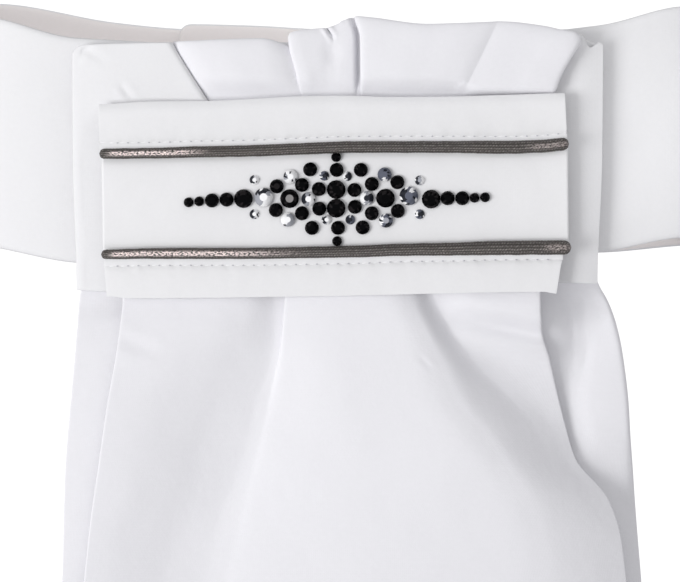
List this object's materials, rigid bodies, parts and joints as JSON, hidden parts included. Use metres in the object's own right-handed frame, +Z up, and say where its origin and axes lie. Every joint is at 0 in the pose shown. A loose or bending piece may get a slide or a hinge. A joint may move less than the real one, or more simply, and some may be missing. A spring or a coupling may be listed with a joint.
{
  "type": "ready-tied riding cravat (stock tie)",
  "caption": "White ready-tied cravat: overlapping neckband, pleated throat, corded and crystal-set band, and two hanging tails.",
  "frame": {"origin": "middle of the neck opening, level with the middle of the throat plate, where a neck goes through", "axes": "+Z up along the hanging tails and the neck, -Y to the viewer in front of the throat, +X to the viewer's right"},
  "size_m": [0.1778, 0.0902, 0.2446],
  "materials": {
    "white_cotton": "matt close-woven white cotton",
    "hook_and_loop": "short white looped pile",
    "metallic_gimp": "dark pewter metallic thread wound as a cord",
    "black_crystal": "polished faceted jet black glass, flat back",
    "clear_crystal": "polished faceted clear glass, foiled flat back"
  },
  "bodies": {
    "root": {"neckband": "white_cotton", "closure_pad": "hook_and_loop", "throat_plate": "white_cotton", "pleated_front": "white_cotton", "back_tail": "white_cotton", "band_panel": "white_cotton", "border_upper": "white_cotton", "border_lower": "white_cotton", "cord_upper": "metallic_gimp", "cord_lower": "metallic_gimp", "crystal_black_large_1": "black_crystal", "crystal_black_large_2": "black_crystal", "crystal_black_large_3": "black_crystal", "crystal_black_large_4": "black_crystal", "crystal_black_large_5": "black_crystal", "crystal_black_large_6": "black_crystal", "crystal_black_medium_1": "black_crystal", "crystal_black_medium_2": "black_crystal", "crystal_black_medium_3": "black_crystal", "crystal_black_medium_4": "black_crystal", "crystal_black_medium_5": "black_crystal", "crystal_black_medium_6": "black_crystal", "crystal_black_medium_7": "black_crystal", "crystal_black_medium_8": "black_crystal", "crystal_black_medium_9": "black_crystal", "crystal_black_medium_10": "black_crystal", "crystal_black_medium_11": "black_crystal", "crystal_black_medium_12": "black_crystal", "crystal_black_medium_13": "black_crystal", "crystal_black_medium_14": "black_crystal", "crystal_black_medium_15": "black_crystal", "crystal_black_medium_16": "black_crystal", "crystal_black_medium_17": "black_crystal", "crystal_black_medium_18": "black_crystal", "crystal_black_medium_19": "black_crystal", "crystal_black_medium_20": "black_crystal", "crystal_black_medium_21": "black_crystal", "crystal_black_medium_22": "black_crystal", "crystal_black_small_1": "black_crystal", "crystal_black_small_2": "black_crystal", "crystal_black_small_3": "black_crystal", "crystal_black_small_4": "black_crystal", "crystal_black_small_5": "black_crystal", "crystal_black_small_6": "black_crystal", "crystal_clear_large_1": "clear_crystal", "crystal_clear_large_2": "clear_crystal", "crystal_clear_medium_1": "clear_crystal", "crystal_clear_medium_2": "clear_crystal", "crystal_clear_medium_3": "clear_crystal", "crystal_clear_medium_4": "clear_crystal", "crystal_clear_medium_5": "clear_crystal", "crystal_clear_medium_6": "clear_crystal"}
  },
  "joints": []
}
